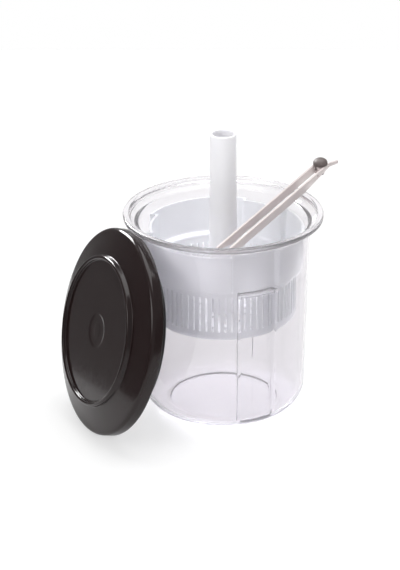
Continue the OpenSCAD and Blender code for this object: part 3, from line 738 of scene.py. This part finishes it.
class KEEPER_OT_lid(bpy.types.Operator):
    """Build the dark lid that leans on the canister, and its seal"""

    bl_idname = "keeper.lid"
    bl_label = "Lid and seal"

    def execute(self, context):
        s = context.scene.keeper_lid
        crown, wall = s.crown_h, s.wall_t
        ridge_in, ridge_out = s.ridge_r - s.ridge_t / 2, s.ridge_r + s.ridge_t / 2
        edge_r = s.edge_r - s.edge_soft
        edge = arc(edge_r, 0, s.edge_soft, 62, 0, 10)
        slope_top = crown - s.slope_drop
        slope = (slope_top - edge[0, 1]) / (edge[0, 0] - ridge_out)
        dip = math.atan(slope)
        foot_soft = 0.8 * MM
        foot_r, foot_z = ridge_out + foot_soft, slope_top - foot_soft * slope + foot_soft / math.cos(dip)
        foot = arc(foot_r, foot_z, foot_soft, 190, 270 - math.degrees(dip), 4)
        soft = 0.5 * MM
        # the dimple: radii over the nub's edge and out to the dimple's, and shares of its depth
        nub_edge, dimple_edge = np.array([-1.6, -0.8, 0, 0.8]) * MM, np.array([-2.2, -1.6, -0.6, 0]) * MM
        dimple_r = np.concatenate([[0], s.nub_r + nub_edge, s.dimple_r + dimple_edge])
        dimple_share = np.array([0.75, 0.75, 0.8, 0.95, 1, 1, 0.88, 0.2, 0])
        top = np.concatenate([
            np.column_stack([dimple_r, crown - dimple_share * s.dimple_h]),
            line((s.dimple_r + 0.5 * MM, crown), (ridge_in - 1.2 * MM, crown), 8),
            arc(ridge_in - foot_soft, crown + foot_soft, foot_soft, -90, -20, 3),
            arc(s.ridge_r, crown + s.ridge_h - s.ridge_t / 2, s.ridge_t / 2, 170, 10, 10),
            foot,
            line(foot[-1], edge[0], 9)[1:-1],
            edge,
            [[s.edge_r, -s.skirt_drop / 2], [s.edge_r, -s.skirt_drop + soft]],
            arc(s.edge_r - soft, -s.skirt_drop + soft, soft, 0, -90, 3),
        ])
        skirt = s.edge_r - s.skirt_t
        plug_in = s.plug_r - wall
        low = slope_top - (plug_in - ridge_out) * slope - wall / math.cos(dip)
        ceiling = crown - wall
        bed = s.plug_r + 1.2 * MM
        below = np.concatenate([
            arc(skirt + soft, -s.skirt_drop + soft, soft, 270, 180, 3),
            near(skirt, 0, (0, -2), (0, -0.3), (-0.3, 0)),
            near(s.rest_r, 0, (0, 0), (-0.8, 0.3)),
            near(bed, s.hollow_h, (0.5, 0), (0, 0)),
            near(s.plug_r, s.hollow_h, (0, -0.2)),
            [[s.plug_r, 0], [s.plug_r, -s.plug_depth + soft]],
            arc(s.plug_r - soft, -s.plug_depth + soft, soft, 0, -90, 3),
            arc(plug_in + soft, -s.plug_depth + soft, soft, 270, 180, 3),
            near(plug_in, low, (0, -1.3), (-0.25, -0.5), (-0.9, 0.15)),
            near(ridge_in, ceiling, (0.4, -0.1), (-0.6, 0)),
            [[plug_in * 0.7, ceiling], [plug_in * 0.3, ceiling], [0, ceiling]],
        ])
        place = PI / 2 - s.lean, PI + s.heading, s.centre
        cover = placed(turned(np.concatenate([top, below]), RING_STEPS), *place)
        colours = context.scene.keeper_finishes
        dark = gloss_finish("dark plastic", colours.dark, (0.11, 0.19), 350, 0.02 * MM,
                            coat=0.06, mirror=0.24)
        put("lid_shell", cover, dark, ["lid_cover"], "lid")

        # the seal: two fins on a bed, as radii, and heights in fifths of its own height
        inner_r, fin_r = s.plug_r + 0.02 * MM, s.seal_r
        radii = [inner_r, fin_r - 0.3 * MM, fin_r, fin_r - 0.1 * MM, bed, bed,
                 fin_r - 0.2 * MM, fin_r, fin_r - 0.1 * MM, bed, bed - 0.2 * MM, inner_r]
        fifths = np.array([0, 0, 0.25, 0.6, 1.5, 2.5, 2.8, 3.1, 3.5, 4.4, 5, 5])
        ring = np.column_stack([radii, fifths * s.seal_h / 5 - s.plug_depth])
        seal = placed(turned(ring, RING_STEPS, closed=True), *place)
        black = gloss_finish("seal rubber", colours.seal, (0.3, 0.42), 900, 0.05 * MM)
        put("seal_ring", seal, black, ["lid_seal"], "lid")
        return {"FINISHED"}


class KEEPER_OT_tongs(bpy.types.Operator):
    """Build the two arms of the tongs and the domed pin at their head"""

    bl_idname = "keeper.tongs"
    bl_label = "Tongs"

    def execute(self, context):
        s = context.scene.keeper_tongs
        colours = context.scene.keeper_finishes
        grey = gloss_finish("grey plastic", colours.grey, (0.3, 0.42), 700, 0.04 * MM)
        cap = gloss_finish("cap plastic", colours.cap, (0.45, 0.6), 700, 0.04 * MM)
        place = -s.tilt, s.heading, s.tip
        head_x, tail_x, flick_x = (s.length - part for part in (s.tail_len, s.taper_len, s.flick_len))
        soft = 0.35 * MM

        def strip(path, turning, rise):
            """A bar along a path (x, y), its lower edge coming up at the tip and by a rise at the tail."""
            x = path[:, 0]
            shrink = np.zeros(len(x))
            shrink[[0, 1, -2, -1]] = np.array([0.75, 0.2, 0.2, 0.75]) * soft
            bottom = (np.clip(1 - x / s.tip_len, 0, 1) * (s.arm_w - s.tip_h)
                      + np.clip((x - tail_x) / s.taper_len, 0, 1) * rise)
            sections = softened_bar(s.arm_t - 2 * shrink, bottom + shrink, s.arm_w - shrink, soft)
            across = np.stack([-np.sin(turning), np.cos(turning), 0 * turning], axis=1)
            return swept(np.column_stack([path, 0 * x]), across, sections)

        def eye(z, hole):
            """A round eye with softened edges and a hole through it."""
            r, h = s.eye_r, s.eye_h
            profile = np.concatenate([arc(r - soft, soft, soft, -90, 0, 3),
                                      arc(r - soft, h - soft, soft, 0, 90, 3), [[hole, h], [hole, 0]]])
            points, faces = turned(profile, SMALL_STEPS, closed=True)
            return points + (head_x, 0, z), faces

        def block(low, high):
            """A small box between two corners, with softened edges along it."""
            path = np.array([[x, (low[1] + high[1]) / 2, 0] for x in (low[0], high[0])])
            across = np.array([[0.0, 1, 0], [0, 1, 0]])
            width, bottom, top = (np.full(2, v) for v in (high[1] - low[1], low[2], high[2]))
            return swept(path, across, softened_bar(width, bottom, top, 0.15 * MM))

        def tab(z, near, far, lift=0.05 * MM):
            """The flat tab from an eye to its own arm, its underside a little over the eye's."""
            half = 0.8 * s.eye_r
            return block((head_x - half, near, z + lift), (head_x + half, far, z + s.eye_h - 0.05 * MM))

        # rows close together at each end, for the softened ends
        near_end = np.array([0, 0.1, 0.35]) * MM
        arm_end = head_x + s.eye_r
        pointed = np.concatenate([near_end, np.linspace(s.tip_len / 6, s.tip_len, 6)])
        x = np.concatenate([pointed, np.linspace(s.tip_len, arm_end - 2 * MM, 24)[1:],
                            arm_end - near_end[::-1]])
        left = joined(strip(np.column_stack([x, np.full(len(x), s.arm_y)]), 0 * x, 0.0),
                      tab(0.0, s.pin_r + 0.6 * MM, s.arm_y), eye(0.0, s.pin_r))
        put("left_arm", placed(left, *place), grey, ["tongs_left_arm"], "tongs", sharp=40)

        # the right arm runs on past the head and its tail's end turns outwards round a small bend
        bend = 2.5 * MM
        cut_back = bend * math.tan(s.flick / 2)
        x = np.concatenate([pointed, np.linspace(s.tip_len, tail_x, 18)[1:],
                            np.linspace(tail_x, flick_x - cut_back, 9)[1:]])
        a = np.linspace(0, s.flick, 6)[1:]
        corner = np.column_stack([flick_x - cut_back + bend * np.sin(a), bend * (np.cos(a) - 1)])
        run_out = s.flick_len - s.arm_t / 2 * math.sin(s.flick)
        run = np.concatenate([np.linspace(0, 1, 4)[1:-1] * (run_out - 1 * MM), run_out - near_end[::-1]])
        along = np.array([1.0, -math.tan(s.flick)])
        start = np.array([flick_x, 0.0])
        tail = start + along * run[run > corner[-1, 0] - flick_x + 0.2 * MM, None]
        path = np.concatenate([np.column_stack([x, 0 * x]), corner, tail]) - np.array([0, s.arm_y])
        turning = np.concatenate([0 * x, -a, np.full(len(tail), -s.flick)])
        reach = 2 * MM
        drill, drill_faces = turned([[0, -reach], [s.hole_r, -reach], [s.hole_r, reach], [0, reach]], 32)
        drill = drill[:, [0, 2, 1]] + np.array([s.length - s.hole_x, -s.arm_y, s.arm_w * 0.66])
        right = drilled(strip(path, turning, s.arm_w - s.tail_h), (drill, drill_faces))
        pitch, teeth_y = 2.4 * MM, -s.arm_y + s.arm_t / 2 + 0.5 * MM
        teeth_x = s.tip_len * 0.4 + pitch * np.arange(1, s.teeth + 1)
        teeth = [block((x, -s.arm_y, s.arm_w * 0.6), (x + pitch / 3, teeth_y, s.arm_w * 0.9))
                 for x in teeth_x]
        right = joined(right, tab(s.eye_z, -s.arm_y, -s.pin_r - 0.6 * MM, 0.55 * MM),
                       eye(s.eye_z, s.pin_r + 0.1 * MM), *teeth)
        put("right_arm", placed(right, *place), grey, ["tongs_right_arm"], "tongs_jaw",
            sharp=40)

        # the pin: a foot under the lower eye, the shaft, and the cap, half an ellipse on an upright side
        side = s.cap_h / 4
        dome = arc(0, 0, 1, 0, 90, 12) * (s.head_r, s.cap_h - side) + (0, s.cap_z + side)
        shaft = s.pin_r - 0.01 * MM
        profile = np.concatenate([[[0, -1 * MM]], near(s.pin_r, 0, (0.7, -1), (1, -0.6), (1, 0)),
                                  [[shaft, 0], [shaft, s.cap_z]],
                                  near(s.head_r, s.cap_z, (-0.3, 0), (0, 0.3)), dome])
        points, faces = turned(profile, SMALL_STEPS)
        pin = placed((points + (head_x, 0, 0), faces), *place)
        put("head_pin", pin, cap, ["tongs_pin"], "tongs", sharp=50)
        return {"FINISHED"}


class KEEPER_OT_stage(bpy.types.Operator):
    """Lay the floor, hang the soft lights and set up the camera"""

    bl_idname = "keeper.stage"
    bl_label = "Stage"

    def execute(self, context):
        scene = context.scene

        def sheet(name, corners, finish):
            """A flat piece of the stage."""
            mesh = bpy.data.meshes.new(name)
            mesh.from_pydata(corners, [], [[0, 1, 2, 3]])
            mesh.materials.append(finish)
            return added(name, mesh)

        def card(name, x, high, grey):
            """An upright card beside the floor, seen only in gloss and through clear plastic."""
            finish, _, shader = new_finish(name)
            set_sockets(shader, Base_Color=(grey, grey, grey, 1), Roughness=1.0, Specular_IOR_Level=0.0)
            holder = sheet(name, [(x, -0.6, 0), (x, 0.8, 0), (x, 0.8, high), (x, -0.6, high)], finish)
            holder.visible_camera = holder.visible_diffuse = holder.visible_shadow = False

        floor = sheet("floor", [(-0.6, -0.7, 0), (0.5, -0.7, 0), (0.5, 0.8, 0), (-0.6, 0.8, 0)],
                      floor_finish(scene.keeper_finishes))
        card("left card", -0.23, 0.2, 0.3)
        card("right card", 0.42, 0.34, 0.3)

        def soft_light(name, place, target, width, height, watts):
            """A rectangular lamp at a place, facing a target."""
            lamp = bpy.data.lights.new(name, "AREA")
            lamp.shape = "RECTANGLE"
            lamp.size, lamp.size_y, lamp.energy = width, height, watts
            holder = added(name, lamp)
            holder.location = place
            holder.rotation_euler = (Vector(target) - Vector(place)).to_track_quat("-Z", "Y").to_euler()
            return holder

        soft_light("overhead", (0.1, 0.15, 1.3), (0, 0, 0.05), 1.1, 1.1, 13)
        soft_light("front left", (-1.1, -0.9, 0.9), (0, 0, 0.08), 0.8, 0.8, 8)
        gleam = soft_light("back left", (-0.66, 0.80, 0.74), (-0.08, -0.04, 0.07), 0.5, 0.5, 26)
        gleam.visible_diffuse = gleam.visible_transmission = False

        world = bpy.data.worlds.new("studio")
        scene.world = world
        world.use_nodes = True
        tree = world.node_tree
        back = tree.nodes["Background"]
        back.inputs["Color"].default_value = (1, 1, 1, 1)
        tree.links.new(spread(tree, straight_or_clear(tree), 0.55, 1.0, 0.0, 1.0), back.inputs["Strength"])

        lens = bpy.data.cameras.new("camera")
        holder = added("camera", lens)
        rim_z = scene.keeper_canister.rim_z
        away, height = 1.6, math.radians(22)
        seen = 0.3933                        # metres that the picture's height covers at the rim
        picture_h = 570                      # pixels of the picture's height
        right_of, above = 23.2, 74.0         # pixels from the picture's middle to the rim's centre
        holder.location = (0, -away * math.cos(height), rim_z + away * math.sin(height))
        holder.rotation_euler = (PI / 2 - height, 0, 0)
        lens.sensor_fit = "VERTICAL"
        lens.angle_y = 2 * math.atan(seen / 2 / away)
        lens.shift_x = -right_of / picture_h
        lens.shift_y = -above / picture_h
        scene.camera = holder
        scene.view_settings.view_transform = "Standard"
        return {"FINISHED"}


class KEEPER_PT_panel(bpy.types.Panel):
    """Buttons that build the pieces, and their settings"""

    bl_idname = "KEEPER_PT_panel"
    bl_label = "Keeper"
    bl_space_type = "VIEW_3D"
    bl_region_type = "UI"
    bl_category = "Keeper"

    def draw(self, context):
        layout = self.layout
        for operator in OPERATORS:
            layout.operator(operator.bl_idname)
        for group in GROUPS:
            settings = getattr(context.scene, GROUPS[group])
            box = layout.box()
            box.label(text=group.__doc__)
            for name in group.__annotations__:
                box.prop(settings, name)


GROUPS = {
    KeeperCanisterSizes: "keeper_canister",
    KeeperStrainerSizes: "keeper_strainer",
    KeeperLidSizes: "keeper_lid",
    KeeperTongsSizes: "keeper_tongs",
    KeeperFinishes: "keeper_finishes",
}
OPERATORS = (KEEPER_OT_canister, KEEPER_OT_strainer, KEEPER_OT_lift_tube, KEEPER_OT_lid, KEEPER_OT_tongs,
             KEEPER_OT_stage)


def register():
    """Registers the settings, the operators and the panel."""
    for kind in (*GROUPS, *OPERATORS, KEEPER_PT_panel):
        bpy.utils.register_class(kind)
    for group, name in GROUPS.items():
        setattr(bpy.types.Scene, name, PointerProperty(type=group))


def unregister():
    """Takes them out again."""
    for name in GROUPS.values():
        delattr(bpy.types.Scene, name)
    for kind in reversed((*GROUPS, *OPERATORS, KEEPER_PT_panel)):
        bpy.utils.unregister_class(kind)


def main():
    """Builds every piece and the stage."""
    register()
    bpy.ops.keeper.canister()
    bpy.ops.keeper.strainer()
    bpy.ops.keeper.lift_tube()
    bpy.ops.keeper.lid()
    bpy.ops.keeper.tongs()
    bpy.ops.keeper.stage()
    bpy.context.view_layer.update()


if __name__ == "__main__":
    main()
